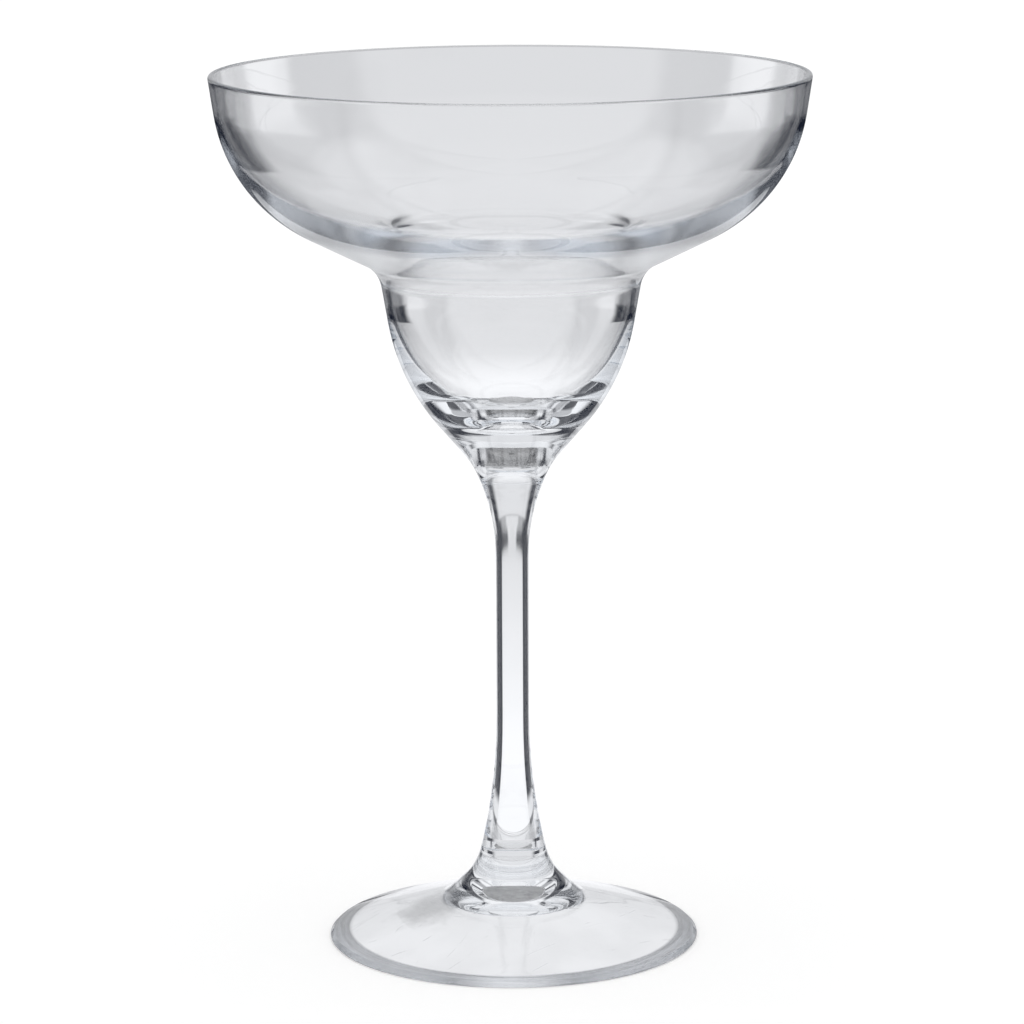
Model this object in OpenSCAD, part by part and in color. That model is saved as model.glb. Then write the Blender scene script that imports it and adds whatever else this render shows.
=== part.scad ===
// Footed cocktail glass in three clear moulded pieces: a wide bowl over a
// narrow cup, a drawn stem with a spigot at each end, and a hollow cone foot.
// Millimetres, +Z up. The origin is the centre of the ring it stands on.
// Each outline is a list of corners [radius, height, blend], and a blend is
// the radius that rounds the corner, cut down where its sides are too short.

/* [Heights] */
// Height of the foot, from the table to its seam with the stem
foot_h = 18.3; // [16:0.1:24]
// Length of the stem, from seam to seam
stem_l = 78.8; // [50:0.1:110]
// Height of the short boss that carries the upper seam
boss_h = 2.94; // [2:0.01:5]
// Height of the solid flare between the boss and the cup
flare_h = 17.32; // [14:0.01:24]
// Height of the cup, from its lower corner to the neck
cup_h = 22.91; // [18:0.01:34]
// Height of the shoulder, from the neck to the belly
shoulder_h = 14.99; // [11:0.01:20]
// Height of the wide rim wall, from the belly to the lip
rim_h = 24.74; // [18:0.01:36]

/* [Widths] */
// Outside diameter of the lip
rim_d = 121.8; // [114:0.1:130]
// Outside diameter at the corner of the belly
belly_d = 114.4; // [104:0.1:120]
// Outside diameter at the corner of the neck
neck_d = 53.9; // [50:0.1:62]
// Outside diameter at the lower corner of the cup
cup_d = 46; // [42:0.1:50]
// Outside diameter at the top of the boss
boss_d = 15.98; // [14:0.02:18]
// Diameter of both seams, where the pieces meet
seam_d = 13.6; // [12.8:0.1:15]
// Diameter of the stem at its waist
stem_d = 6.73; // [5.5:0.01:9]
// Diameter of the foot
foot_d = 76.7; // [66:0.1:90]

/* [Bowl blends] */
// Rounding of the lip, inside and out
lip_r = 0.6; // [0.2:0.05:0.6]
// Outside rounding of the belly
belly_r = 32.7; // [16:0.1:36]
// Outside rounding of the neck
neck_r = 6.9; // [3:0.1:12]
// Outside rounding of the cup
cup_r = 43.7; // [20:0.1:50]
// Rounding between the flare and the boss
boss_r = 18.8; // [5:0.1:20]
// Inside rounding of the belly
belly_in_r = 27.6; // [14:0.1:32]
// Inside rounding of the neck
neck_in_r = 4.6; // [2:0.1:10]
// Inside rounding of the cup
cup_in_r = 32; // [16:0.1:36]
// Inside rounding of the cup's floor
floor_in_r = 17.3; // [8:0.1:20]

/* [Bowl walls] */
// Wall at the lip
lip_t = 1.33; // [1.2:0.01:2.5]
// How far the inside corner of the belly stands in from the outside one
belly_in = 0.42; // [0.2:0.01:2]
// How far the inside corner of the belly stands above the outside one
belly_up = 2.61; // [1.6:0.01:4]
// How far the inside corner of the neck stands in from the outside one
neck_in = 1.9; // [1:0.1:3]
// How far the inside corner of the neck stands above the outside one
neck_up = 2.39; // [1.6:0.01:4]
// Side wall at the inside corner of the cup
cup_t = 1.14; // [1:0.01:3]
// How far the inside corner of the cup stands above the outside one
cup_up = 7.1; // [5:0.1:9]
// Solid base, from the upper seam to the inside of the cup
base_t = 13.38; // [12.8:0.01:15]
// Side wall at the level of the cup's floor
floor_t = 4.35; // [3.5:0.01:6]

/* [Stem] */
// Rounding under the upper seam
stem_top_r = 41; // [20:0.1:41]
// Height over which the stem narrows under the upper seam
stem_top_h = 7.86; // [6:0.01:12]
// Rounding above the lower seam
stem_low_r = 123.7; // [60:0.1:130]
// Height over which the stem widens above the lower seam
stem_low_h = 15.45; // [13:0.01:20]

/* [Joints] */
// Diameter of the stem's upper spigot
top_pin_d = 10.6; // [8:0.1:11]
// Height of the stem's upper spigot
top_pin_h = 4.1; // [1.5:0.1:5]
// Chamfer on the upper spigot
top_pin_c = 0.3; // [0.2:0.1:1]
// Depth of the socket in the boss
socket_h = 10.1; // [7:0.1:10.8]
// Diameter of the stem's lower spigot
low_pin_d = 9.6; // [8:0.1:10.6]
// Length of the stem's lower spigot
low_pin_h = 1.6; // [1:0.1:3]
// Gap all round each spigot, and under the lower one
fit_gap = 0.05; // [0.02:0.01:0.1]
// Rounding at the bottom of each socket
socket_r = 0.3; // [0.1:0.05:0.5]
// Width of the moulding pip in the socket and of the nib on the spigot
pip_d = 1.1; // [0.6:0.1:1.6]
// Height of the moulding pip and of the nib
pip_h = 0.6; // [0.3:0.1:1]

/* [Foot] */
// Width of the hub where it starts to flare out
hub_d = 16.04; // [15:0.02:18]
// How far below the seam the hub starts to flare out
hub_drop = 3.85; // [3:0.05:5]
// Width of the flare's root, where the cone starts
cone_d = 29; // [24:0.1:34]
// How far below the seam the cone starts
cone_drop = 9.95; // [9:0.05:11]
// Rounding of the hub
hub_r = 13.5; // [5:0.1:14]
// Rounding of the cone's root
cone_r = 6; // [3:0.1:10]
// Height of the edge under the cone
edge_h = 1.25; // [1:0.05:2.5]
// How far the top of the edge stands in from the side
edge_in = 0.9; // [0.5:0.05:2]
// Rounding of the edge's top
edge_r = 0.9; // [0.4:0.05:2]
// Height and width of the edge's bottom chamfer
edge_c = 0.35; // [0.2:0.05:0.6]
// Rounding of the edge's bottom
edge_low_r = 0.2; // [0.1:0.05:0.4]
// Width of the flat ring that the foot stands on
ring_w = 3.85; // [2:0.05:7]
// Height of the relief inside the ring
relief_h = 0.15; // [0.1:0.05:0.4]
// Width of the relief inside the ring
relief_w = 0.65; // [0.4:0.05:1.5]
// Thickness down from the cone's root to the hollow under it
cone_t = 2.15; // [1.6:0.05:3]
// How far the hollow's root stands in from the cone's root
cone_under_in = 1.5; // [0.5:0.1:3]
// How far the hollow still rises between its root and the pad
vault_h = 0.8; // [0.4:0.1:1.4]
// Width of the pad under the hub, at its root
pad_root_d = 13; // [12:0.1:16]
// Width of the pad's face
pad_d = 9.2; // [7:0.1:11]
// How far the pad hangs down
pad_h = 1; // [0.7:0.05:2.4]
// Rounding of the hollow's root
under_r = 2.5; // [1:0.1:4]
// Rounding of the pad's root
pad_root_r = 1; // [0.4:0.1:2]
// Rounding of the pad's edge
pad_r = 0.3; // [0.1:0.05:1]

/* [Fineness] */
// How far a straight step of an outline may leave its true curve
chord_tol = 0.012; // [0.005:0.001:0.05]

/* [Hidden] */

// Levels of the seams and corners
top_seam_z = foot_h + stem_l;
boss_z = top_seam_z + boss_h;
cup_z = boss_z + flare_h;
neck_z = cup_z + cup_h;
belly_z = neck_z + shoulder_h;
rim_z = belly_z + rim_h;
floor_z = top_seam_z + base_t;
socket_z = top_seam_z + socket_h;

// Radii of the outside corners
rim_rad = rim_d / 2;
belly_rad = belly_d / 2;
neck_rad = neck_d / 2;
cup_rad = cup_d / 2;
boss_rad = boss_d / 2;
seam_rad = seam_d / 2;
foot_rad = foot_d / 2;

// Radii of the joints
top_pin_rad = top_pin_d / 2;
low_pin_rad = low_pin_d / 2;
pip_rad = pip_d / 2;

// A full turn in fine steps, for the round surfaces
$fn = 180;

// Radius at height z on the straight line from a to b
function on_line(a, b, z) = a[0] + (b[0] - a[0]) * (z - a[1]) / (b[1] - a[1]);

// The first two numbers of a corner
function place(c) = [c[0], c[1]];

// Direction from a to b, of length one
function unit(a, b) = (place(b) - place(a)) / norm(place(b) - place(a));

// Angle through which an outline turns at b, on its way from a to c
function turn(a, b, c) =
    let (u = unit(a, b), v = unit(b, c))
    atan2(u[0] * v[1] - u[1] * v[0], u[0] * v[0] + u[1] * v[1]);

// Blend and tangent length that corner i asks for; the ends have none
function wish(c, i) =
    (i == 0 || i == len(c) - 1) ? 0 : c[i][2] * abs(tan(turn(c[i - 1], c[i], c[i + 1]) / 2));

// Share of its blend that corner i can have beside its neighbour j
function room(c, i, j) =
    let (gap = norm(place(c[i]) - place(c[j])), need = wish(c, i) + wish(c, j))
    need > gap ? gap / need : 1;

// The points of the arc that rounds corner i, or the corner itself
function blend(c, i) =
    wish(c, i) == 0 ? [place(c[i])] :
    let (
        share = min(room(c, i, i - 1), room(c, i, i + 1)),
        r = c[i][2] * share,
        t = wish(c, i) * share,
        u = unit(c[i - 1], c[i]),
        a = turn(c[i - 1], c[i], c[i + 1]),
        side = a > 0 ? [-u[1], u[0]] : [u[1], -u[0]],
        start = place(c[i]) - u * t,
        centre = start + side * r,
        step = 2 * acos(1 - min(chord_tol / r, 1 / 2)),
        n = max(2, ceil(abs(a) / step))
    )
    [for (k = [0 : n])
        let (w = a * k / n, s = -side * r)
        centre + [s[0] * cos(w) - s[1] * sin(w), s[0] * sin(w) + s[1] * cos(w)]];

// A rounded outline from its corners
function outline(c) = [for (i = [0 : len(c) - 1]) each blend(c, i)];

// Outside corners of the bowl, from the upper seam to the lip
seam_c = [seam_rad, top_seam_z, 0];
boss_c = [boss_rad, boss_z, boss_r];
cup_c = [cup_rad, cup_z, cup_r];
neck_c = [neck_rad, neck_z, neck_r];
belly_c = [belly_rad, belly_z, belly_r];
rim_c = [rim_rad, rim_z, lip_r];

// Inside corners of the bowl, from the lip to the middle of the floor
rim_in_c = [rim_rad - lip_t, rim_z, lip_r];
belly_in_c = [belly_rad - belly_in, belly_z + belly_up, belly_in_r];
neck_in_c = [neck_rad - neck_in, neck_z + neck_up, neck_in_r];
cup_in_z = cup_z + cup_up;
cup_in_c = [on_line(cup_c, neck_c, cup_in_z) - cup_t, cup_in_z, cup_in_r];
floor_c = [on_line(boss_c, cup_c, floor_z) - floor_t, floor_z, floor_in_r];
floor_mid_c = [0, floor_z, 0];

// Wide upper bowl, narrow cup and the boss with the stem's socket
module bowl() {
    socket_rad = top_pin_rad + fit_gap;
    pip_z = socket_z - pip_h;
    color("#dfe6ec", 0.45)
    rotate_extrude()
    polygon(outline([
        [0, pip_z, 0],
        [pip_rad, pip_z, pip_h / 4],
        [pip_rad, socket_z, 0],
        [socket_rad, socket_z, socket_r],
        [socket_rad, top_seam_z, 0],
        seam_c, boss_c, cup_c, neck_c, belly_c, rim_c,
        rim_in_c, belly_in_c, neck_in_c, cup_in_c, floor_c, floor_mid_c
    ]));
}

// Drawn stem with a chamfered spigot above and a short one below
module stem() {
    top_pin_z = top_seam_z + top_pin_h;
    nib_z = top_pin_z + pip_h;
    color("#dfe6ec", 0.45)
    rotate_extrude()
    polygon(outline([
        [0, foot_h - low_pin_h, 0],
        [low_pin_rad, foot_h - low_pin_h, socket_r],
        [low_pin_rad, foot_h, 0],
        [seam_rad, foot_h, 0],
        [stem_d / 2, foot_h + stem_low_h, stem_low_r],
        [stem_d / 2, top_seam_z - stem_top_h, stem_top_r],
        seam_c,
        [top_pin_rad, top_seam_z, 0],
        [top_pin_rad, top_pin_z - top_pin_c, 0],
        [top_pin_rad - top_pin_c, top_pin_z, 0],
        [pip_rad, top_pin_z, 0],
        [pip_rad, nib_z, pip_h / 4],
        [0, nib_z, 0]
    ]));
}

// Hollow cone foot: hub with a socket, cone, standing ring and inner pad
module foot() {
    socket_rad = low_pin_rad + fit_gap;
    socket_floor_z = foot_h - low_pin_h - fit_gap;
    cone_z = foot_h - cone_drop;
    under_z = cone_z - cone_t;
    vault_z = under_z + vault_h;
    pad_z = vault_z - pad_h;
    ring_in = foot_rad - edge_c - ring_w;
    color("#dfe6ec", 0.45)
    rotate_extrude()
    polygon(outline([
        [0, pad_z, 0],
        [pad_d / 2, pad_z, pad_r],
        [pad_root_d / 2, vault_z, pad_root_r],
        [cone_d / 2 - cone_under_in, under_z, under_r],
        [ring_in - relief_w, relief_h, 0],
        [ring_in, 0, 0],
        [foot_rad - edge_c, 0, edge_low_r],
        [foot_rad, edge_c, edge_low_r],
        [foot_rad - edge_in, edge_h, edge_r],
        [cone_d / 2, cone_z, cone_r],
        [hub_d / 2, foot_h - hub_drop, hub_r],
        [seam_rad, foot_h, 0],
        [socket_rad, foot_h, 0],
        [socket_rad, socket_floor_z, socket_r],
        [0, socket_floor_z, 0]
    ]));
}

bowl();
stem();
foot();
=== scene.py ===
# %% [markdown]
# # A clear margarita glass
# The real glass is three mouldings of clear styrene plastic, bonded into one: a wide bowl over a
# narrow cup, a drawn stem, and a hollow cone foot. Each is round about the same upright axis.
# The solids give the heights of the seams and the lip, and each outline here is set from those.
# Their flat facets would show through clear plastic as bars of light, so each piece is turned
# again here with a much finer surface, in the very place of its solid.

# %% Load the solids
from collections import namedtuple
from math import atan2, ceil, cos, hypot, pi, radians, sin, tan

import bpy
from mathutils import Matrix, Vector


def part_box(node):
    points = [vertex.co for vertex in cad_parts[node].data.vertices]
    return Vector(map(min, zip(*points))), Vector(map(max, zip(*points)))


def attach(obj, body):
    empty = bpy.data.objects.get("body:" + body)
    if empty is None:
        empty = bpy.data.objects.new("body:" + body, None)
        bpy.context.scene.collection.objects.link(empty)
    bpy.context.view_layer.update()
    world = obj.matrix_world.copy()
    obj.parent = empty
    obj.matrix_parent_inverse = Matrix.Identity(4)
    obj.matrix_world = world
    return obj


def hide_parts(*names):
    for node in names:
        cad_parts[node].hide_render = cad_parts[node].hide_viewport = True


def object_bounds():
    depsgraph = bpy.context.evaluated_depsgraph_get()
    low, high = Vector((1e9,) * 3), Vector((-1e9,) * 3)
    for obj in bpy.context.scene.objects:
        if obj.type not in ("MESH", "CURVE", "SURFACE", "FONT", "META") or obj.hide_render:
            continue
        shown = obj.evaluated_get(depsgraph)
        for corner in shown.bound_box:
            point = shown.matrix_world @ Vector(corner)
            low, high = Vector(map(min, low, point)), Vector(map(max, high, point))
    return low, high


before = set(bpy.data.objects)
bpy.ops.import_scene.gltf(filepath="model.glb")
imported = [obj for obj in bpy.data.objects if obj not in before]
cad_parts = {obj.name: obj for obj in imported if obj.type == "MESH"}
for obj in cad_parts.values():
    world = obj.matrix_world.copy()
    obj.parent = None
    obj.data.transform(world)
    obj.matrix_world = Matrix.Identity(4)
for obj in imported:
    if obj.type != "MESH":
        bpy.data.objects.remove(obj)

MM = 0.001
cad_low, cad_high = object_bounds()
print("the solids fill", [round(v / MM, 1) for v in cad_high - cad_low], "mm")

# %% [markdown]
# ## Camera
# The photograph looks slightly down on the glass through a long lens, from about five times its
# height away, so the lip shows as a thin oval and the foot as a wide one. The camera is placed
# by its distance and its height, both as multiples of the glass, and tipped down by its pitch.
# A glass turned on one axis looks alike from every side, so any side may be the front. This one
# leaves the sides that other views look along free of what the front needs behind it.

# %% Stand the camera in front of the glass
front_side = radians(225)
glass_height = cad_high.z - cad_low.z
camera_distance = 4.8272 * glass_height
camera_height = 1.477 * glass_height
camera_pitch = radians(11.4566)
camera_roll = radians(-0.25)
lens_length = 151.83
sensor_width = 36
nearest_seen = 0.01

bpy.ops.object.camera_add(location=(0, -camera_distance, camera_height))
camera = bpy.context.object
camera.name = "camera"
aim = Matrix.Rotation(pi / 2 - camera_pitch, 4, "X") @ Matrix.Rotation(camera_roll, 4, "Z")
to_side = Matrix.Rotation(front_side, 4, "Z")
camera.matrix_world = to_side @ Matrix.Translation(camera.location) @ aim
camera.data.lens = lens_length
camera.data.sensor_width = sensor_width
camera.data.clip_start = nearest_seen
bpy.context.scene.camera = camera
print("camera stands", round(camera_distance, 3), "m off and", round(camera_height, 3), "m up")

# %% [markdown]
# ## Drawing an outline
# A turned piece is drawn as half of its section, as a turner cuts a template. The line is drawn
# with a pen, which is one selected vertex: extruding it draws a straight run, and spinning it
# about a centre draws a true arc. A bevel would be quicker to type, but its curve is only near
# a circle, and clear plastic shows the smallest flat. So each corner gets an arc that is tangent
# to both of its runs, and the runs are cut into short steps to keep the shading even.

# %% Clear the selection, and start a pen
def pick_nothing():
    """Leaves edit mode and deselects everything, so that the next operator acts on new work."""
    if bpy.context.mode != "OBJECT":
        bpy.ops.object.mode_set(mode="OBJECT")
    bpy.ops.object.select_all(action="DESELECT")


def start_pen(name, point):
    """Adds a mesh of one selected vertex at point, given as radius and height in millimetres."""
    pick_nothing()
    bpy.ops.mesh.primitive_plane_add(size=MM)
    piece = bpy.context.object
    piece.name = name
    bpy.ops.object.mode_set(mode="EDIT")
    bpy.ops.mesh.select_all(action="SELECT")
    bpy.ops.mesh.merge(type="CENTER")
    bpy.ops.transform.translate(value=(point[0] * MM, 0, point[1] * MM))
    return piece


# %% Draw straight runs and arcs
RUN_STEP = 1.5
ARC_STEP = radians(2.5)


def draw_run(start, end):
    """Extrudes the pen from start to end in equal short steps."""
    length = hypot(end[0] - start[0], end[1] - start[1])
    steps = max(1, ceil(length / RUN_STEP))
    step = ((end[0] - start[0]) / steps * MM, 0, (end[1] - start[1]) / steps * MM)
    for _ in range(steps):
        bpy.ops.mesh.extrude_vertices_move(TRANSFORM_OT_translate={"value": step})


def draw_arc(centre, angle):
    """Spins the pen about centre by angle, which is positive from +Z towards +X."""
    steps = max(2, ceil(abs(angle) / ARC_STEP))
    middle = (centre[0] * MM, 0, centre[1] * MM)
    bpy.ops.mesh.spin(steps=steps, angle=-angle, center=middle, axis=(0, 1, 0))


# %% Round the corners of an outline
Corner = namedtuple("Corner", "radius height blend", defaults=[0])


def direction(a, b):
    """Unit vector from corner a to corner b."""
    return Vector((b.radius - a.radius, b.height - a.height)).normalized()


def rounded_corner(before, corner, after):
    """Where the arc at a corner starts and ends, its centre and the angle that it turns through."""
    u, v = direction(before, corner), direction(corner, after)
    turn = atan2(u.y * v.x - u.x * v.y, u.dot(v))
    reach = corner.blend * abs(tan(turn / 2))
    here = Vector((corner.radius, corner.height))
    side = Vector((u.y, -u.x)) if turn > 0 else Vector((-u.y, u.x))
    start = here - u * reach
    return start, here + v * reach, start + side * corner.blend, turn


def draw_outline(name, corners):
    """Draws an outline from corners in millimetres, each rounded by its blend."""
    pen = Vector(corners[0][:2])
    piece = start_pen(name, pen)
    for before, corner, after in zip(corners, corners[1:], corners[2:]):
        if corner.blend == 0:
            draw_run(pen, corner)
            pen = Vector(corner[:2])
            continue
        start, end, centre, turn = rounded_corner(before, corner, after)
        draw_run(pen, start)
        draw_arc(centre, turn)
        pen = end
    draw_run(pen, corners[-1])
    return piece


# %% Turn an outline into a closed piece
TURN_STEPS = 224
WELD = 2e-6
SHARP = radians(25)


def turned_piece(name, corners):
    """Draws an outline that starts and ends on the axis, and spins it once round."""
    piece = draw_outline(name, corners)
    bpy.ops.mesh.select_all(action="SELECT")
    bpy.ops.mesh.spin(steps=TURN_STEPS, angle=2 * pi, center=(0, 0, 0), axis=(0, 0, 1))
    bpy.ops.mesh.select_all(action="SELECT")
    bpy.ops.mesh.remove_doubles(threshold=WELD)
    bpy.ops.mesh.normals_make_consistent(inside=False)
    bpy.ops.object.mode_set(mode="OBJECT")
    piece.select_set(True)
    bpy.ops.object.shade_smooth_by_angle(angle=SHARP)
    size = [round(v / MM, 2) for v in piece.dimensions]
    print(name, "has", len(piece.data.polygons), "faces and measures", size, "mm")
    return piece


# %% [markdown]
# ## Where the pieces meet
# The three mouldings meet at two seams, where a spigot on the stem sits in a socket. The seams'
# heights come from the solids. Two faces of clear plastic in the same place would flicker, and
# the real bond leaves a film there that shows as a bright line, so a hair of air stays between.
# In the upper joint both pieces carry a small stub, where the plastic was let into their moulds.

# %% Take the seams from the solids
lip_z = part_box("bowl")[1][2] / MM
upper_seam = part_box("bowl")[0][2] / MM
lower_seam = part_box("foot")[1][2] / MM
print("seams at", round(lower_seam, 2), "and", round(upper_seam, 2), "mm, lip at", round(lip_z, 2))

# %% Sizes that two pieces share
hair = 0.04
fit_gap = 0.05
seam_radius = 6.8
spigot_radius = 5.3
low_spigot_radius = 4.8
low_spigot_end = lower_seam - 1.6
stub_radius = 0.55
stub_height = 0.6
stub_blend = 0.15
print("the spigots are", 2 * spigot_radius, "and", 2 * low_spigot_radius, "mm wide")

# %% [markdown]
# ## Bowl
# The bowl's outside runs from the seam up a short boss, a solid flare, the round cup, the neck
# and the shoulder to the belly, and up the wide wall to the lip. Its inside comes back down
# with walls a little over a millimetre, and stops well above the seam, because the flare under
# the cup is solid. A blind socket in the boss takes the stem, and is deeper than the stem's
# spigot, so a box of air shows there. Each corner is a radius, a height and a blend.

# %% Corners of the bowl's outside
boss = Corner(7.99, upper_seam + 2.94, 18.8)
cup = Corner(23.0, upper_seam + 20.26, 43.7)
neck = Corner(26.95, upper_seam + 43.17, 6.9)
belly = Corner(57.2, lip_z - 24.74, 32.7)
lip = Corner(60.9, lip_z, 0.6)

bowl_outside = [Corner(seam_radius, upper_seam + hair), boss, cup, neck, belly, lip]

# %% Corners of the bowl's inside
lip_wall = 1.33
lip_inside = Corner(lip.radius - lip_wall, lip_z, lip.blend)
belly_inside = Corner(56.78, lip_z - 22.13, 27.6)
neck_inside = Corner(25.05, upper_seam + 45.56, 4.6)
cup_inside = Corner(23.08, upper_seam + 27.36, 32.0)
floor_edge = Corner(12.69, upper_seam + 13.38, 17.3)
floor_middle = Corner(0, floor_edge.height)

bowl_inside = [lip_inside, belly_inside, neck_inside, cup_inside, floor_edge, floor_middle]
print("the wall is", lip_wall, "mm thick at the lip")

# %% Corners of the bowl's socket
socket_radius = spigot_radius + fit_gap
socket_top = upper_seam + 10.1
socket_blend = 0.3

bowl_socket = [
    Corner(0, socket_top - stub_height),
    Corner(stub_radius, socket_top - stub_height, stub_blend),
    Corner(stub_radius, socket_top),
    Corner(socket_radius, socket_top, socket_blend),
    Corner(socket_radius, upper_seam + hair),
]

# %% Turn the bowl
bowl = turned_piece("clear_bowl", bowl_socket + bowl_outside + bowl_inside)

# %% [markdown]
# ## Stem
# The stem is solid. It flares at both ends to meet the boss above and the hub below in one
# smooth line, and its waist is under seven millimetres across. Such a rod is a strong lens: it
# turns left and right about, and gathers what lies behind it into a bright core with dark sides.

# %% Corners of the stem
waist_radius = 3.365
spigot_top = upper_seam + 4.1
spigot_chamfer = 0.3
low_spigot_blend = 0.3
low_flare = Corner(waist_radius, lower_seam + 15.45, 123.7)
top_flare = Corner(waist_radius, upper_seam - 7.86, 41.0)

stem_outline = [
    Corner(0, low_spigot_end),
    Corner(low_spigot_radius, low_spigot_end, low_spigot_blend),
    Corner(low_spigot_radius, lower_seam + hair),
    Corner(seam_radius, lower_seam + hair),
    low_flare,
    top_flare,
    Corner(seam_radius, upper_seam),
    Corner(spigot_radius, upper_seam),
    Corner(spigot_radius, spigot_top - spigot_chamfer),
    Corner(spigot_radius - spigot_chamfer, spigot_top),
    Corner(stub_radius, spigot_top),
    Corner(stub_radius, spigot_top + stub_height, stub_blend),
    Corner(0, spigot_top + stub_height),
]

# %% Turn the stem
stem = turned_piece("clear_stem", stem_outline)

# %% [markdown]
# ## Foot
# The foot is a hollow cone on a flat ring, about two and a half millimetres thick, with a hub
# on top that takes the stem's lower spigot and a round pad hanging under the hub. The cone and
# its hollow are two mirrors face to face, and the flat ring shows as a dark band round the edge.

# %% Corners under the foot
cone_top = lower_seam - 9.95
hollow_edge = Corner(13.0, cone_top - 2.15, 2.5)
pad_root = Corner(6.5, hollow_edge.height + 0.8, 1.0)
pad_edge = Corner(4.6, pad_root.height - 1.0, 0.3)
pad_middle = Corner(0, pad_edge.height)
ring_inner = 34.15
relief_width = 0.65
relief_height = 0.15
relief_edge = Corner(ring_inner - relief_width, relief_height)

foot_under = [pad_middle, pad_edge, pad_root, hollow_edge, relief_edge, Corner(ring_inner, 0)]

# %% Corners of the foot's edge
foot_radius = 38.35
edge_height = 1.25
edge_round = 0.9
low_chamfer = 0.35
chamfer_blend = 0.2

foot_edge = [
    Corner(foot_radius - low_chamfer, 0, chamfer_blend),
    Corner(foot_radius, low_chamfer, chamfer_blend),
    Corner(foot_radius - edge_round, edge_height, edge_round),
]

# %% Corners of the cone and the hub
cone_edge = Corner(14.5, cone_top, 6.0)
hub_edge = Corner(8.02, lower_seam - 3.85, 13.5)
low_socket_radius = low_spigot_radius + fit_gap
low_socket_floor = low_spigot_end - fit_gap

foot_top = [
    cone_edge,
    hub_edge,
    Corner(seam_radius, lower_seam),
    Corner(low_socket_radius, lower_seam),
    Corner(low_socket_radius, low_socket_floor, socket_blend),
    Corner(0, low_socket_floor),
]

# %% Turn the foot
foot = turned_piece("clear_foot", foot_under + foot_edge + foot_top)

# %% [markdown]
# ## Clear plastic
# Styrene plastic bends light a little more than window glass does. A transmitting shader with its
# refractive index gives nearly the whole look, and a trace of blue-grey absorption in the volume
# gives the thick parts their colour. A used moulding isn't perfect: it has faint waves from the
# mould, hairline scratches, and a film where fingers and shelves have touched it. The waves and
# scratches go into the bump, the film into the roughness, and its greyness into the colour.
# All of it is made from the place on the piece, so that it stays with the piece.

# %% Wire a node to what feeds it
def feed(tree, socket, value):
    """Sets a node's input to a number or a colour, or wires it to another node's output."""
    if isinstance(value, bpy.types.NodeSocket):
        tree.links.new(value, socket)
    else:
        socket.default_value = value


def add_node(tree, kind, **values):
    """Adds a node of a kind, and feeds each named input."""
    node = tree.nodes.new(kind)
    for key, value in values.items():
        feed(tree, node.inputs[key.replace("_", " ")], value)
    return node


def maths(tree, operation, *values):
    """Adds a Math node on numbers or sockets, and returns its result."""
    node = tree.nodes.new("ShaderNodeMath")
    node.operation = operation
    for socket, value in zip(node.inputs, values):
        feed(tree, socket, value)
    return node.outputs[0]


# %% Shape masks
def ramp(tree, value, low, high, at_low=0.0, at_high=1.0):
    """Maps a value smoothly from the range low to high to the range at_low to at_high."""
    node = tree.nodes.new("ShaderNodeMapRange")
    node.interpolation_type = "SMOOTHSTEP"
    for socket, number in zip(node.inputs, (value, low, high, at_low, at_high)):
        feed(tree, socket, number)
    return node.outputs["Result"]


def between(tree, value, low, high, soft):
    """A mask that is 1 where a value lies between low and high, with edges twice soft wide."""
    rise = ramp(tree, value, low - soft, low + soft)
    fall = ramp(tree, value, high - soft, high + soft, 1, 0)
    return maths(tree, "MULTIPLY", rise, fall)


# %% Combine masks
def scaled(tree, mask, strength):
    """A mask at a part of its strength."""
    return maths(tree, "MULTIPLY", mask, strength)


def overlap(tree, *masks):
    """What all masks share."""
    shared = masks[0]
    for mask in masks[1:]:
        shared = maths(tree, "MULTIPLY", shared, mask)
    return shared


def highest(tree, *masks):
    """The highest of several masks at each place."""
    top = masks[0]
    for mask in masks[1:]:
        top = maths(tree, "MAXIMUM", top, mask)
    return top


# %% Find a place on a piece, and its distance from the axis
Spot = namedtuple("Spot", "place x y z radius")


def coordinates(tree, kind):
    """A place as a vector, and its three coordinates."""
    place = tree.nodes.new("ShaderNodeTexCoord").outputs[kind]
    x, y, z = add_node(tree, "ShaderNodeSeparateXYZ", Vector=place).outputs
    return place, x, y, z


def hypotenuse(tree, x, y):
    """The long side of a right triangle whose short sides are x and y."""
    squares = maths(tree, "ADD", maths(tree, "MULTIPLY", x, x), maths(tree, "MULTIPLY", y, y))
    return maths(tree, "SQRT", squares)


def find_spot(tree):
    """The spot on a piece that is being shaded, and its distance from the upright axis."""
    place, x, y, z = coordinates(tree, "Object")
    return Spot(place, x, y, z, hypotenuse(tree, x, y))


# %% Scatter film and hairlines
SCRATCH_TURN = (0, 0, radians(35))
SCRATCH_STRETCH = (1, 0.12, 1)
SCRATCH_BREAKS = (0.56, 0.62)
BREAK_SCALE = 1.3


def noise(tree, place, scale, detail=0.0):
    """Soft noise from 0 to 1 on a place."""
    return add_node(tree, "ShaderNodeTexNoise", Vector=place, Scale=scale, Detail=detail).outputs[0]


def film(tree, place, scale, low, high):
    """Cloudy patches that fingers leave."""
    return ramp(tree, noise(tree, place, scale, 3), low, high)


def scratches(tree, place, scale, width):
    """Short hairlines, nearly straight: level lines of a stretched noise, broken up by another."""
    stretched = add_node(
        tree, "ShaderNodeMapping", Vector=place, Rotation=SCRATCH_TURN, Scale=SCRATCH_STRETCH
    )
    wide = noise(tree, stretched.outputs[0], scale)
    away = maths(tree, "ABSOLUTE", maths(tree, "SUBTRACT", wide, 0.5))
    line = ramp(tree, away, 0, width, 1, 0)
    breaks = ramp(tree, noise(tree, place, scale * BREAK_SCALE), *SCRATCH_BREAKS)
    return overlap(tree, line, breaks)


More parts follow.
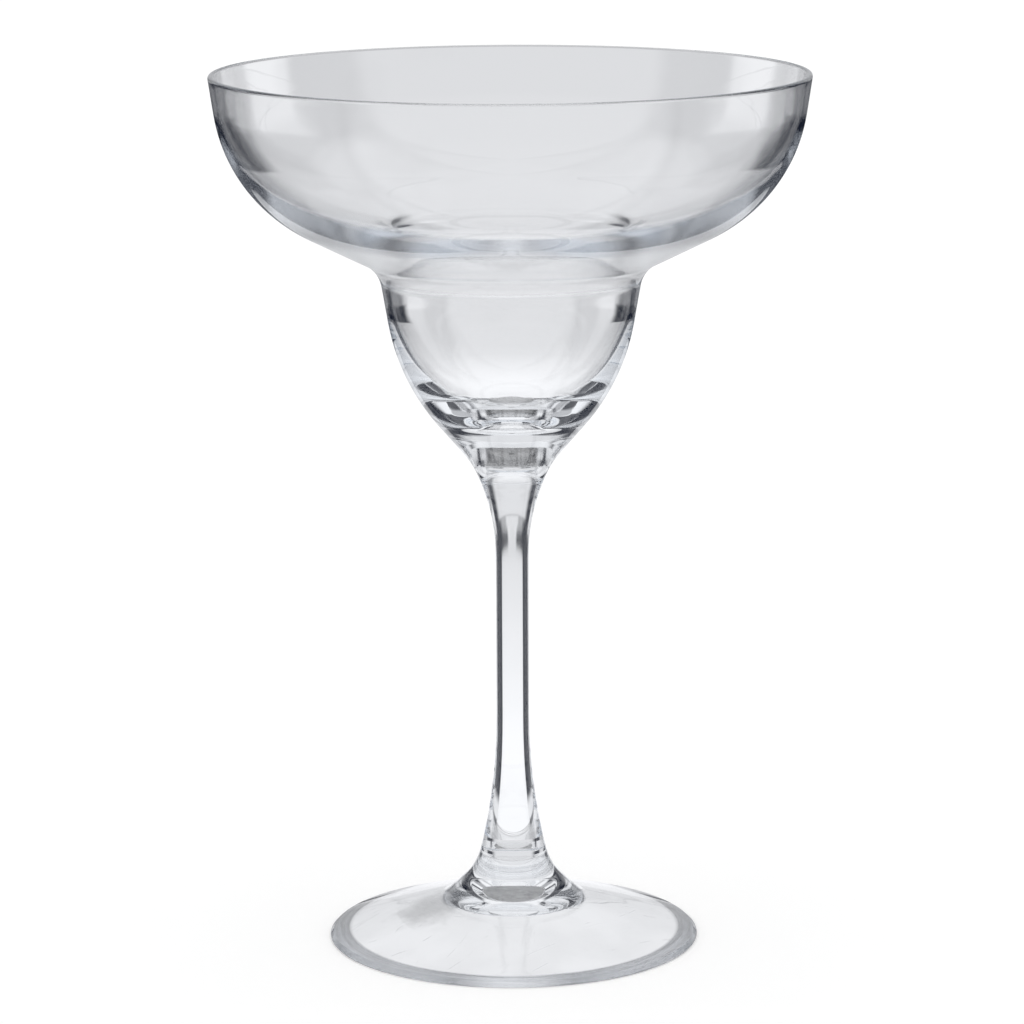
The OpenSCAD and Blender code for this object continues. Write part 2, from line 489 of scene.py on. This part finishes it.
# %% Start a material of clear plastic
PLASTIC_IOR = 1.57
TINT = (0.80, 0.87, 0.95, 1)
TINT_DENSITY = 5


def start_plastic(node):
    """The clear plastic of one piece, with its shader and the spot that is being shaded."""
    material = bpy.data.materials.new("clear_plastic_" + node)
    material.use_nodes = True
    tree = material.node_tree
    shader = tree.nodes["Principled BSDF"]
    shader.inputs["Transmission Weight"].default_value = 1
    shader.inputs["IOR"].default_value = PLASTIC_IOR
    inside = add_node(tree, "ShaderNodeVolumeAbsorption", Color=TINT, Density=TINT_DENSITY)
    feed(tree, tree.nodes["Material Output"].inputs["Volume"], inside.outputs[0])
    return material, shader, find_spot(tree)


# %% Wave the surface, and cut lines into it
WAVE_SCALE = 90
WAVE_HEIGHT = 0.00003


def waves(tree, spot):
    """The surface with the mould's faint waves."""
    height = noise(tree, spot.place, WAVE_SCALE, 1)
    return add_node(tree, "ShaderNodeBump", Height=height, Distance=WAVE_HEIGHT).outputs[0]


def cut(tree, surface, lines, depth):
    """A surface with lines cut into it."""
    bump = add_node(tree, "ShaderNodeBump", Height=lines, Distance=depth, Normal=surface)
    bump.invert = True
    return bump.outputs[0]


# %% Wear a piece
TOUCH_SCALE = 45
TOUCH_EDGE = (0.55, 0.75)
TOUCH_ROUGH = 0.03
FILM_SCALE = 60
FILM_EDGE = (0.5, 0.8)
FILM_GREY = 0.03


def wear(tree, shader, spot, surface, rough, grey):
    """Gives a piece its surface, and its own marks with a thin film of use over all of it."""
    touched = scaled(tree, film(tree, spot.place, TOUCH_SCALE, *TOUCH_EDGE), TOUCH_ROUGH)
    filmed = scaled(tree, film(tree, spot.place, FILM_SCALE, *FILM_EDGE), FILM_GREY)
    clear = maths(tree, "SUBTRACT", maths(tree, "SUBTRACT", 1, filmed), grey)
    colour = add_node(tree, "ShaderNodeCombineColor", Red=clear, Green=clear, Blue=clear)
    feed(tree, shader.inputs["Base Color"], colour.outputs[0])
    feed(tree, shader.inputs["Roughness"], highest(tree, touched, rough))
    feed(tree, shader.inputs["Normal"], surface)


# %% [markdown]
# ## Marks on the bowl
# The bowl's neck is where the mould's core left the cavity, and it is a little hazy there: no
# line of the wall shows through it. The top edge of the lip is grey and a little rough. In the
# socket the bond left a grey film on the wall, in streaks along the way that the stem was pushed
# in. Streaks like these come from a noise that reads only the turn about the axis.

# %% Find the bowl's neck and lip
NECK_UNDER_LIP = (43, 33)
NECK_SOFT = 4
EDGE_UNDER_LIP = (0.5, 0.2)


def neck_haze(tree, spot):
    """Where the cup meets the wide wall."""
    low, high = ((lip_z - under) * MM for under in NECK_UNDER_LIP)
    return between(tree, spot.z, low, high, NECK_SOFT * MM)


def lip_top_edge(tree, spot):
    """The top edge of the lip."""
    low, high = ((lip_z - under) * MM for under in EDGE_UNDER_LIP)
    return ramp(tree, spot.z, low, high)


# %% Find the film in the socket
BOND_OUTSIDE = (0.05, 0.15)
BOND_FROM = 4.3
BOND_OVER = 0.1
BOND_SOFT = 0.2
STREAK_SCALE = 9
STREAK_EDGE = (0.35, 0.65)
STREAK_GREY = (0.65, 1)


def bond_film(tree, spot):
    """The bond's film on the socket's wall, above the spigot, in upright streaks."""
    near, far = ((socket_radius + outside) * MM for outside in BOND_OUTSIDE)
    low, high = (upper_seam + BOND_FROM) * MM, (socket_top + BOND_OVER) * MM
    inner = ramp(tree, spot.radius, near, far, 1, 0)
    socket = overlap(tree, inner, between(tree, spot.z, low, high, BOND_SOFT * MM))
    round_axis = add_node(tree, "ShaderNodeCombineXYZ", X=maths(tree, "ARCTAN2", spot.y, spot.x))
    streaks = noise(tree, round_axis.outputs[0], STREAK_SCALE, 3)
    return overlap(tree, socket, ramp(tree, streaks, *STREAK_EDGE, *STREAK_GREY))


# %% Finish the bowl
NECK_ROUGH = 0.13
LIP_ROUGH = 0.1
LIP_GREY = 0.55
BOND_ROUGH = 0.2
BOND_GREY = 0.78


def bowl_plastic():
    """Clear plastic with haze at the neck, a grey lip edge and the bond's film in the socket."""
    material, shader, spot = start_plastic("bowl")
    tree = material.node_tree
    haze, lip_edge, bond = neck_haze(tree, spot), lip_top_edge(tree, spot), bond_film(tree, spot)
    rough = highest(
        tree,
        scaled(tree, haze, NECK_ROUGH),
        scaled(tree, lip_edge, LIP_ROUGH),
        scaled(tree, bond, BOND_ROUGH),
    )
    grey = highest(tree, scaled(tree, lip_edge, LIP_GREY), scaled(tree, bond, BOND_GREY))
    wear(tree, shader, spot, waves(tree, spot), rough, grey)
    return material


bowl.data.materials.append(bowl_plastic())
print(bowl.name, "is made of", bowl.data.materials[0].name)

# %% [markdown]
# ## Marks on the stem
# Where the stem starts to widen towards the bowl, the real plastic shows no sharp image of what
# lies round it. A polished flare would draw one there, so a little roughness softens it.

# %% Finish the stem
FLARE_UNDER_SEAM = (18, 8)
FLARE_SOFT = 3
FLARE_ROUGH = 0.18


def flare_haze(tree, spot):
    """Where the stem starts to widen towards the bowl."""
    low, high = ((upper_seam - under) * MM for under in FLARE_UNDER_SEAM)
    return between(tree, spot.z, low, high, FLARE_SOFT * MM)


def stem_plastic():
    """Clear plastic with haze under the upper flare."""
    material, shader, spot = start_plastic("stem")
    tree = material.node_tree
    rough = scaled(tree, flare_haze(tree, spot), FLARE_ROUGH)
    wear(tree, shader, spot, waves(tree, spot), rough, 0)
    return material


stem.data.materials.append(stem_plastic())
print(stem.name, "is made of", stem.data.materials[0].name)

# %% [markdown]
# ## Marks on the foot
# The foot's standing ring is scuffed in circles by every table that it was turned on. Its scuff
# marks are greyed so strongly that they also paint the shade where the ring rests on the floor.
# The pad under the hub is the gate's face and is matt. Fine hairlines cross the foot, and on top
# of it, left of the hub, sits the grey smudge of a thumb, with a fainter one in front of it. The
# scuff marks come from a noise that reads the radius, and the turn only very slowly, so that they
# run round.

# %% Scuff the standing ring, and paint its shade
RING_FACE = (0.2, 0.3)
RING_EDGE = 0.4
SCUFF_ACROSS = 1.3
SCUFF_ALONG = 0.0012
SCUFF_SCALE = 1000
SCUFF_EDGE = (0.38, 0.62)


def standing_ring(tree, spot):
    """The flat underside of the ring."""
    low, high = RING_FACE
    underside = ramp(tree, spot.z, low * MM, high * MM, 1, 0)
    outside = ramp(tree, spot.radius, (ring_inner - RING_EDGE) * MM, ring_inner * MM)
    return overlap(tree, underside, outside)


def ring_scuffs_and_shade(tree, spot, ring):
    """Circular scuff marks on the ring, whose grey is also painted shade where the ring rests."""
    across = maths(tree, "MULTIPLY", spot.radius, SCUFF_ACROSS)
    along = maths(tree, "MULTIPLY", maths(tree, "ARCTAN2", spot.y, spot.x), SCUFF_ALONG)
    round_axis = add_node(tree, "ShaderNodeCombineXYZ", X=across, Y=along)
    streaks = noise(tree, round_axis.outputs[0], SCUFF_SCALE, 2)
    return overlap(tree, ring, ramp(tree, streaks, *SCUFF_EDGE, 1, 0))


# %% Press a thumb and a palm on the foot
SMUDGE_SCALE = 220
SMUDGE_RAGGED = 1.5
SMUDGE_EDGE = (1.1, 2.0)
THUMB_CENTRE = (-17, -4)
THUMB_REACH = 9
THUMB_OVER = (2.9, 3.1)
PALM_CENTRE = (-7, -21)
PALM_REACH = 6
PALM_STRENGTH = 0.1


def smudge(tree, spot, centre, reach):
    """A ragged smudge about a centre, in millimetres to the right of the axis and behind it."""
    middle = to_side @ Vector((centre[0] * MM, centre[1] * MM, 0))
    dx = maths(tree, "DIVIDE", maths(tree, "SUBTRACT", spot.x, middle.x), reach * MM)
    dy = maths(tree, "DIVIDE", maths(tree, "SUBTRACT", spot.y, middle.y), reach * MM)
    ragged = scaled(tree, noise(tree, spot.place, SMUDGE_SCALE, 5), SMUDGE_RAGGED)
    return ramp(tree, maths(tree, "ADD", hypotenuse(tree, dx, dy), ragged), *SMUDGE_EDGE, 1, 0)


def hand_marks(tree, spot):
    """The thumb's smudge on top of the cone, and the palm's fainter one."""
    low, high = THUMB_OVER
    on_top = ramp(tree, spot.z, low * MM, high * MM)
    thumb = overlap(tree, smudge(tree, spot, THUMB_CENTRE, THUMB_REACH), on_top)
    palm = scaled(tree, smudge(tree, spot, PALM_CENTRE, PALM_REACH), PALM_STRENGTH)
    return highest(tree, thumb, palm)


# %% Find the matt pad
PAD_INSIDE = (0.2, 0)
PAD_OVER = (0.3, 0.4)
PAD_SCALE = 900
PAD_GRAIN = (0.3, 0.7)
PAD_GREY = (0.4, 0.7)


def pad_mask(tree, spot):
    """The face of the pad under the hub."""
    near, far = ((pad_edge.radius - inside) * MM for inside in PAD_INSIDE)
    low, high = ((pad_edge.height + over) * MM for over in PAD_OVER)
    disc = ramp(tree, spot.radius, near, far, 1, 0)
    return overlap(tree, disc, ramp(tree, spot.z, low, high, 1, 0))


def pad_grey(tree, spot, pad):
    """The fine grain of the pad's face."""
    grain = noise(tree, spot.place, PAD_SCALE, 3)
    return overlap(tree, pad, ramp(tree, grain, *PAD_GRAIN, *PAD_GREY))


# %% Cut the foot's surface
HAIRLINE_SCALE = 200
HAIRLINE_WIDTH = 0.01
HAIRLINE_DEPTH = 0.00001
SCUFF_DEPTH = 0.00006


def foot_surface(tree, spot, scuffs_and_shade):
    """The waved surface with hairlines all over it, and the ring's scuff marks cut deeper."""
    hairlines = scratches(tree, spot.place, HAIRLINE_SCALE, HAIRLINE_WIDTH)
    lined = cut(tree, waves(tree, spot), hairlines, HAIRLINE_DEPTH)
    return cut(tree, lined, scuffs_and_shade, SCUFF_DEPTH)


# %% Finish the foot
RING_ROUGH = 0.25
PAD_ROUGH = 0.5
PAD_MATT = 0.5
HAND_ROUGH = 0.12
HAND_GREY = 0.36
SCUFF_AND_SHADE_GREY = 0.82
CLOUD_SCALE = 80
CLOUD_EDGE = (0.35, 0.7)
CLOUD_GREY = 0.07


def foot_plastic():
    """Clear plastic with a scuffed ring greyed as painted shade, a matt pad, hairlines, a hand's
    marks.
    """
    material, shader, spot = start_plastic("foot")
    tree = material.node_tree
    ring, pad, hand = standing_ring(tree, spot), pad_mask(tree, spot), hand_marks(tree, spot)
    scuffs_and_shade = ring_scuffs_and_shade(tree, spot, ring)
    rough = highest(
        tree,
        scaled(tree, ring, RING_ROUGH),
        scaled(tree, pad, PAD_ROUGH),
        scaled(tree, hand, HAND_ROUGH),
    )
    grey = highest(
        tree,
        scaled(tree, film(tree, spot.place, CLOUD_SCALE, *CLOUD_EDGE), CLOUD_GREY),
        scaled(tree, hand, HAND_GREY),
        # Painted shade: the ring's scuff marks are greyed strongly, darkening it where it rests on
        # the floor.
        scaled(tree, scuffs_and_shade, SCUFF_AND_SHADE_GREY),
        pad_grey(tree, spot, pad),
    )
    wear(tree, shader, spot, foot_surface(tree, spot, scuffs_and_shade), rough, grey)
    matt = maths(tree, "SUBTRACT", 1, scaled(tree, pad, PAD_MATT))
    feed(tree, shader.inputs["Transmission Weight"], matt)
    return material


foot.data.materials.append(foot_plastic())
print(foot.name, "is made of", foot.data.materials[0].name)

# %% [markdown]
# ## Handing over the pieces
# Nothing on this glass moves, so all three pieces ride on the one body, root. Each stands for
# its own solid, which stays behind it for weight and contact.

# %% Put each piece in the place of its solid
for piece, node in ((bowl, "bowl"), (stem, "stem"), (foot, "foot")):
    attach(piece, "root")
    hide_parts(node)
    print(piece.name, "stands for", node)

# %% [markdown]
# ## Floor and light
# The photograph is a white sweep with nothing on it. What clear plastic shows of its
# surroundings makes its whole look, so the floor and the room have two faces. To the camera and
# to soft light they are plain and pale. To rays that pass through the plastic or glance off it
# they are the studio round the glass: a lane of bright floor runs back to a pale wall, between
# black cloths that give the plastic its dark edges. Everything there is placed by its distance
# from the glass, its height as seen from the glass, and its bearing, which is 0 straight behind
# the glass and 180 at the camera. A pair of numbers says where a fade starts and ends, and a
# pair called light says how bright it is at those two places.

# %% Find a bearing
DEGREES_PER_RADIAN = 180 / pi


def along_and_across(tree, x, y):
    """How far a place lies behind the glass, and how far to its side, as the camera looks."""
    back = (-sin(front_side), cos(front_side))
    along = maths(tree, "ADD", scaled(tree, x, back[0]), scaled(tree, y, back[1]))
    across = maths(tree, "SUBTRACT", scaled(tree, x, back[1]), scaled(tree, y, back[0]))
    return along, maths(tree, "ABSOLUTE", across)


def bearing(tree, x, y):
    """Degrees between straight behind the glass and a place, alike on both sides."""
    along, across = along_and_across(tree, x, y)
    return scaled(tree, maths(tree, "ARCTAN2", across, along), DEGREES_PER_RADIAN)


# %% Tell the two faces apart, and colour the studio
CLOTH = (0.010, 0.013, 0.024, 1)
WHITE = (0.965, 0.975, 1.0, 1)


def seen_in_plastic(tree):
    """1 for a ray that has passed through the plastic or glanced off it, 0 for all others."""
    path = tree.nodes.new("ShaderNodeLightPath").outputs
    return maths(tree, "MAXIMUM", path["Is Glossy Ray"], path["Is Transmission Ray"])


def mixed(tree, share, first, second):
    """A colour between two, by a share from 0 to 1 or a little over."""
    mix = tree.nodes.new("ShaderNodeMix")
    mix.data_type = "RGBA"
    mix.clamp_factor = False
    for socket, value in ((mix.inputs[0], share), (mix.inputs[6], first), (mix.inputs[7], second)):
        feed(tree, socket, value)
    return mix.outputs[2]


# %% [markdown]
# ## Lane
# The lane fans out near the glass, keeps a width for a while, narrows between the cloths and
# then follows the camera's view to the wall. The stem turns left and right about and shows the
# lane as its bright core. The bowl's sides look just past the narrow part, and go dark there.

# %% Cut the lane between the cloths
LANE_FAN = radians(31)
LANE_VIEW = radians(9.8)
LANE_HALVES = (0.215, 0.098)
LANE_NARROWS = (0.42, 0.62)
LANE_SOFT = 0.022
LANE_START = 0.05


def lane_mask(tree, x, y):
    """A mask that is 1 on the bright lane of floor behind the glass."""
    along, across = along_and_across(tree, x, y)
    fan = scaled(tree, along, tan(LANE_FAN))
    view = scaled(tree, along, tan(LANE_VIEW))
    width = ramp(tree, along, *LANE_NARROWS, *LANE_HALVES)
    half = maths(tree, "MAXIMUM", maths(tree, "MINIMUM", fan, width), view)
    away = maths(tree, "ADD", maths(tree, "ABSOLUTE", along), LANE_START)
    inside = maths(tree, "DIVIDE", maths(tree, "SUBTRACT", half, across), away)
    return ramp(tree, inside, -LANE_SOFT, LANE_SOFT)


# %% Light the lane
HOLLOW_END = (0.033, 0.0345)
SHINE_FADE = (0.10, 0.45)
SHINE_LIGHT = (1.03, 0.74)
STRIP_TURN = (4.6, 5.6)
STRIP_FADE = (1.1, 1.4)
STRIP_LIGHT = (0, 0.14)


def floor_lane(tree, spot, turn):
    """The lane, bright near the glass, with a brighter strip at each side of its far end."""
    shine = ramp(tree, spot.radius, *SHINE_FADE, *SHINE_LIGHT)
    far_off = ramp(tree, spot.radius, *STRIP_FADE, *STRIP_LIGHT)
    strips = overlap(tree, ramp(tree, turn, *STRIP_TURN), far_off)
    light = maths(tree, "ADD", shine, strips)
    outside = ramp(tree, spot.radius, *HOLLOW_END)
    return overlap(tree, lane_mask(tree, spot.x, spot.y), light, outside)


# %% [markdown]
# ## Floor round the lane
# Pale floor shows through the foot's hollow and close round its ring, which throws a shade where
# it stands. A wedge of pale floor at each side keeps the foot light when it is seen from above,
# and the floor towards the camera is pale as well. Far off beside the lane the floor is dim,
# between the black that the bowl's dark patches need and the white that the stem's core needs.

# %% Light the floor at the foot
HOLLOW_LIGHT = 0.85
RING_BAND = (0.034, 0.039)
RING_SOFT = 0.0005
RING_TURN = (90, 160)
RING_LIGHT = (0.17, 0.38)
PAST_RING = (0.039, 0.041)
NEAR_FADE = (0.048, 0.060)
NEAR_LIGHT = (0.85, 0)


def floor_beneath(tree, radius):
    """Pale floor under the foot's hollow."""
    return ramp(tree, radius, *HOLLOW_END, HOLLOW_LIGHT, 0)


def floor_under_ring(tree, radius, turn):
    """The ring's shade, lighter towards the camera."""
    band = between(tree, radius, *RING_BAND, RING_SOFT)
    return overlap(tree, band, ramp(tree, turn, *RING_TURN, *RING_LIGHT))


def floor_near(tree, radius):
    """Pale floor close round the ring."""
    fade = ramp(tree, radius, *NEAR_FADE, *NEAR_LIGHT)
    return overlap(tree, ramp(tree, radius, *PAST_RING), fade)


# %% Light the floor further off
FAR_TURN = (10, 12)
FAR_LIGHT = (0.71, 0.32)
FAR_END = (22, 30)
FAR_START = (1.4, 1.8)
SIDE_TURN = (64, 115)
SIDE_SOFT = 5
SIDE_FADE = (0.10, 0.16)
SIDE_LIGHT = (0.8, 0.5)
SIDE_RISE = (1.2, 1.9)
SIDE_GAIN = (1, 2)
FRONT_TURN = (112, 124)
FRONT_START = (0.0385, 0.040)
FRONT_FADE = (0.3, 1.0)
FRONT_LIGHT = (1.0, 0.6)


def floor_far(tree, radius, turn):
    """Far floor, pale within the camera's view, dim beside it and black further round."""
    light = ramp(tree, turn, *FAR_TURN, *FAR_LIGHT)
    return overlap(tree, light, ramp(tree, turn, *FAR_END, 1, 0), ramp(tree, radius, *FAR_START))


def floor_beside(tree, radius, turn):
    """A wedge of floor at each side, lighter near the glass and again far off."""
    wedge = between(tree, turn, *SIDE_TURN, SIDE_SOFT)
    light = ramp(tree, radius, *SIDE_FADE, *SIDE_LIGHT)
    gain = ramp(tree, radius, *SIDE_RISE, *SIDE_GAIN)
    return overlap(tree, wedge, ramp(tree, radius, *PAST_RING), light, gain)


def floor_front(tree, radius, turn):
    """Pale floor towards the camera."""
    wedge = overlap(tree, ramp(tree, turn, *FRONT_TURN), ramp(tree, radius, *FRONT_START))
    return overlap(tree, wedge, ramp(tree, radius, *FRONT_FADE, *FRONT_LIGHT))


# %% Put the studio's floor together
def floor_light(tree, spot):
    """How bright the studio's floor is at a spot."""
    turn, radius = bearing(tree, spot.x, spot.y), spot.radius
    return highest(
        tree,
        floor_beneath(tree, radius),
        floor_under_ring(tree, radius, turn),
        floor_near(tree, radius),
        floor_lane(tree, spot, turn),
        floor_far(tree, radius, turn),
        floor_beside(tree, radius, turn),
        floor_front(tree, radius, turn),
    )


# %% Lay the floor
FLOOR_SIZE = 8.0
bpy.ops.mesh.primitive_plane_add(size=FLOOR_SIZE, location=(0, 0, -hair * MM))
floor = bpy.context.object
floor.name = "floor"
print("the floor is", FLOOR_SIZE, "m square")

# %% Paint both faces of the floor
PALE = (0.8, 0.8, 0.8, 1)
CAMERA_LIFT = 0.25


def plain_floor(tree):
    """Matt pale floor, with a lift for the camera that brings it up to white."""
    by_camera = tree.nodes.new("ShaderNodeLightPath").outputs["Is Camera Ray"]
    matt = add_node(tree, "ShaderNodeBsdfDiffuse", Color=PALE)
    lift = add_node(tree, "ShaderNodeEmission", Strength=scaled(tree, by_camera, CAMERA_LIFT))
    both = tree.nodes.new("ShaderNodeAddShader")
    feed(tree, both.inputs[0], matt.outputs[0])
    feed(tree, both.inputs[1], lift.outputs[0])
    return both.outputs[0]


def studio_floor(tree):
    """The glowing floor of the studio, which only the plastic shows."""
    colour = mixed(tree, floor_light(tree, find_spot(tree)), CLOTH, WHITE)
    return add_node(tree, "ShaderNodeEmission", Color=colour).outputs[0]


def floor_paint():
    """The floor's material, with the face that each ray is to meet."""
    material = bpy.data.materials.new("pale_floor")
    material.use_nodes = True
    tree = material.node_tree
    tree.nodes.clear()
    faces = add_node(tree, "ShaderNodeMixShader", Fac=seen_in_plastic(tree))
    feed(tree, faces.inputs[1], plain_floor(tree))
    feed(tree, faces.inputs[2], studio_floor(tree))
    add_node(tree, "ShaderNodeOutputMaterial", Surface=faces.outputs[0])
    return material


floor.data.materials.append(floor_paint())
print(floor.name, "is painted with", floor.data.materials[0].name)

# %% [markdown]
# ## Room
# Behind the glass stands the pale wall, a little darker low down, where the bowl shows it as an
# even grey. A low panel at each side fills the underside of the bowl. The room behind the
# camera and the ceiling are softer, and a dark gap on each side keeps the cup's edges black.
# The foot of the wall is as dim beside the lane as the far floor, so that the two run together.

# %% Light the wall
BASE_TURN = (11, 15)
BASE_LIGHT = (0.76, 0.4)
BASE_END = (22, 30)
BASE_TOP = (3, 6)
WALL_END = (26, 38)
WALL_UP = (18, 30)
WALL_LIGHT = (0.76, 0.95)
WALL_FOOT = (2, 5)


def wall_base(tree, turn, up):
    """The foot of the wall, pale behind the glass and dim beside that."""
    light = ramp(tree, turn, *BASE_TURN, *BASE_LIGHT)
    return overlap(tree, light, ramp(tree, turn, *BASE_END, 1, 0), ramp(tree, up, *BASE_TOP, 1, 0))


def wall_light(tree, turn, up):
    """The wall behind the glass, lighter higher up."""
    light = ramp(tree, up, *WALL_UP, *WALL_LIGHT)
    return overlap(tree, ramp(tree, turn, *WALL_END, 1, 0), light, ramp(tree, up, *WALL_FOOT))


# %% Light the sides, the room behind the camera and the ceiling
PANEL_TURN = (50, 80)
PANEL_SOFT = 3
PANEL_UP = (10, 20)
PANEL_LIGHT = (1.0, 0.4)
BEHIND_TURN = (110, 122)
BEHIND_UP = (18, 26)
BEHIND_LIGHT = (0.8, 0.95)
CEILING_START = (33, 41)
CEILING_UP = (52, 62)
CEILING_LIGHT = (1, 0.8)
CEILING_TURN = (95, 115)
CEILING_DIM = (1, 0.4)


def side_panel(tree, turn, up):
    """A low panel at each side, dimmer higher up."""
    mask = between(tree, turn, *PANEL_TURN, PANEL_SOFT)
    return overlap(tree, mask, ramp(tree, up, *PANEL_UP, *PANEL_LIGHT))


def behind_camera(tree, turn, up):
    """The room behind the camera, lighter higher up."""
    light = ramp(tree, up, *BEHIND_UP, *BEHIND_LIGHT)
    return overlap(tree, ramp(tree, turn, *BEHIND_TURN), light)


def ceiling_light(tree, turn, up):
    """The ceiling, dimmer straight above and dimmest towards the camera."""
    light = ramp(tree, up, *CEILING_UP, *CEILING_LIGHT)
    dimmed = ramp(tree, turn, *CEILING_TURN, *CEILING_DIM)
    return overlap(tree, ramp(tree, up, *CEILING_START), light, dimmed)


# %% Build the room
PLAIN_SKY = (1, 1, 1, 1)


def room_light(tree, turn, up):
    """How bright the studio's room is at a bearing and at a height angle, both in degrees."""
    parts = (wall_base, wall_light, side_panel, behind_camera, ceiling_light)
    return highest(tree, *(part(tree, turn, up) for part in parts))


def room_paint():
    """The world, plain to the camera and to soft light, and the studio's room in the plastic."""
    world = bpy.data.worlds.new("studio")
    world.use_nodes = True
    tree = world.node_tree
    tree.nodes.clear()
    _, x, y, z = coordinates(tree, "Generated")
    up = scaled(tree, maths(tree, "ARCSINE", z), DEGREES_PER_RADIAN)
    room = mixed(tree, room_light(tree, bearing(tree, x, y), up), CLOTH, WHITE)
    colour = mixed(tree, seen_in_plastic(tree), PLAIN_SKY, room)
    sky = add_node(tree, "ShaderNodeBackground", Color=colour)
    add_node(tree, "ShaderNodeOutputWorld", Surface=sky.outputs[0])
    return world


bpy.context.scene.world = room_paint()
print("the room is lit by", bpy.context.scene.world.name)

# %% [markdown]
# ## Light through many walls
# A ray that passes through the bowl, the cup and the foot meets many faces of plastic, and one
# that is caught between the two faces of a wall meets more. Too few bounces would turn those
# places black, so the limits are raised well over what any ray here needs.

# %% Let light pass through every wall
BOUNCES = 96
bpy.context.scene.view_settings.view_transform = "Standard"
bpy.context.scene.cycles.max_bounces = BOUNCES
bpy.context.scene.cycles.transmission_bounces = BOUNCES
bpy.context.scene.cycles.glossy_bounces = BOUNCES
print("light may meet", BOUNCES, "faces")
